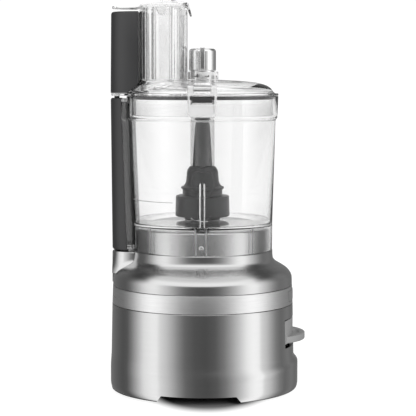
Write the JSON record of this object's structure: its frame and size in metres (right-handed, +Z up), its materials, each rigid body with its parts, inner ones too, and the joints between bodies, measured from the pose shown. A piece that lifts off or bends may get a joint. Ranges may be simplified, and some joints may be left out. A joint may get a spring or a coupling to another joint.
{
  "type": "food processor",
  "caption": "Round metal motor base with a clear bowl and column handle, a clear lid with an oval feed tube, nested pushers, a side latch and a slicing dial.",
  "frame": {"origin": "centre of the bounding box's footprint, on the counter; the drive axis stands at x = -0.00575 m", "axes": "+Z up, +X towards the controls (the machine's front), the handle at -X and the lid's latch at -Y"},
  "size_m": [0.2256, 0.218, 0.4445],
  "materials": {
    "silver_paint": "satin metallic paint",
    "band_metal": "finely brushed round the axis",
    "clear_plastic": "clear, polished",
    "dark_plastic": "satin",
    "blade_plastic": "fine matt",
    "seal_rubber": "matt",
    "foot_rubber": "matt",
    "black_plastic": "matt",
    "steel": "ground",
    "laminations": "stacked sheet edges, varnished",
    "copper": "bare",
    "zinc": "as cast",
    "circuit_board": "lacquered",
    "dial_finish": "silver lacquer under a clear coat"
  },
  "bodies": {
    "base": {"base_housing": "silver_paint", "trim_band": "band_metal", "name_plate": "band_metal", "top_housing": "silver_paint", "rear_post": "silver_paint", "base_plate": "black_plastic", "cord_gland": "foot_rubber", "foot_front_left": "foot_rubber", "foot_front_right": "foot_rubber", "foot_rear_left": "foot_rubber", "foot_rear_right": "foot_rubber", "base_screw_1": "steel", "base_screw_2": "steel", "base_screw_3": "steel", "base_screw_4": "steel", "chassis_plate": "zinc", "bearing_housing": "zinc", "upper_bearing": "steel", "lower_bearing": "steel", "shaft_seal": "seal_rubber", "drive_belt": "seal_rubber", "motor_stator": "laminations", "motor_upper_bracket": "zinc", "motor_lower_bracket": "zinc", "brush_holder_left": "copper", "brush_holder_right": "copper", "control_board": "circuit_board", "speed_switch": "black_plastic", "paddle_tray": "black_plastic", "paddle_pin": "steel", "interlock_switch": "black_plastic"},
    "motor_rotor": {"motor_shaft": "steel", "armature": "laminations", "commutator": "copper", "motor_pulley": "zinc", "cooling_fan": "black_plastic"},
    "drive": {"drive_shaft": "steel", "driven_pulley": "black_plastic"},
    "paddle": {"control_paddle": "silver_paint"},
    "plunger": {"interlock_plunger": "black_plastic"},
    "bowl_assembly": {"bowl": "clear_plastic", "catch_bar": "dark_plastic", "handle_frame": "clear_plastic", "handle_grip": "dark_plastic"},
    "rod": {"interlock_rod": "black_plastic"},
    "blade": {"blade_hub": "blade_plastic", "upper_blade": "steel", "lower_blade": "steel"},
    "lid_assembly": {"lid": "clear_plastic", "feed_chute": "clear_plastic", "chute_housing": "dark_plastic", "lid_gasket": "seal_rubber", "dial_ring": "clear_plastic", "latch_pin": "steel"},
    "latch": {"lid_latch": "clear_plastic"},
    "dial": {"slice_dial": "dial_finish", "dial_sleeve": "clear_plastic"},
    "pusher": {"large_pusher": "clear_plastic"},
    "inner_pusher": {"small_pusher": "clear_plastic", "thumb_cup": "clear_plastic"}
  },
  "joints": [
    {"name": "drive_spin", "type": "hinge", "parent": "base", "child": "drive", "pos_m": [-0.00575, 0, 0.15], "axis": [0, 0, 1], "continuous": true},
    {"name": "motor_spin", "type": "hinge", "parent": "base", "child": "motor_rotor", "pos_m": [-0.06775, 0, 0.05], "axis": [0, 0, 1], "continuous": true},
    {"name": "paddle_rock", "type": "hinge", "parent": "base", "child": "paddle", "pos_m": [0.08925, 0, 0.072], "axis": [0, 1, 0], "range_deg": [-6, 6]},
    {"name": "plunger_rise", "type": "slide", "parent": "base", "child": "plunger", "axis": [0, 0, 1], "range_m": [0, 0.004], "stiffness_N_per_m": 40, "springref_m": 0.004},
    {"name": "bowl_lift", "type": "slide", "parent": "base", "child": "bowl_assembly", "axis": [0, 0, 1], "range_m": [0, 0.1]},
    {"name": "rod_rise", "type": "slide", "parent": "bowl_assembly", "child": "rod", "axis": [0, 0, 1], "range_m": [0, 0.004], "stiffness_N_per_m": 40, "springref_m": 0.004},
    {"name": "blade_spin", "type": "hinge", "parent": "bowl_assembly", "child": "blade", "pos_m": [-0.00575, 0, 0.2], "axis": [0, 0, 1], "continuous": true},
    {"name": "lid_lift", "type": "slide", "parent": "bowl_assembly", "child": "lid_assembly", "axis": [0, 0, 1], "range_m": [0, 0.1]},
    {"name": "latch_swing", "type": "hinge", "parent": "lid_assembly", "child": "latch", "pos_m": [-0.00575, -0.0875, 0.346], "axis": [1, 0, 0], "range_deg": [-110, 0]},
    {"name": "dial_turn", "type": "hinge", "parent": "lid_assembly", "child": "dial", "pos_m": [-0.00575, 0, 0.37], "axis": [0, 0, 1], "range_deg": [0, 120]},
    {"name": "pusher_lift", "type": "slide", "parent": "lid_assembly", "child": "pusher", "axis": [0, 0, 1], "range_m": [0, 0.09]},
    {"name": "inner_pusher_lift", "type": "slide", "parent": "pusher", "child": "inner_pusher", "axis": [0, 0, 1], "range_m": [0, 0.09]}
  ],
  "couplings": [
    {"joint": "motor_spin", "follows": "drive_spin", "ratio": 4.2},
    {"joint": "blade_spin", "follows": "drive_spin", "ratio": 1},
    {"joint": "rod_rise", "follows": "lid_lift", "ratio": 0.04},
    {"joint": "plunger_rise", "follows": "lid_lift", "ratio": 0.04}
  ]
}
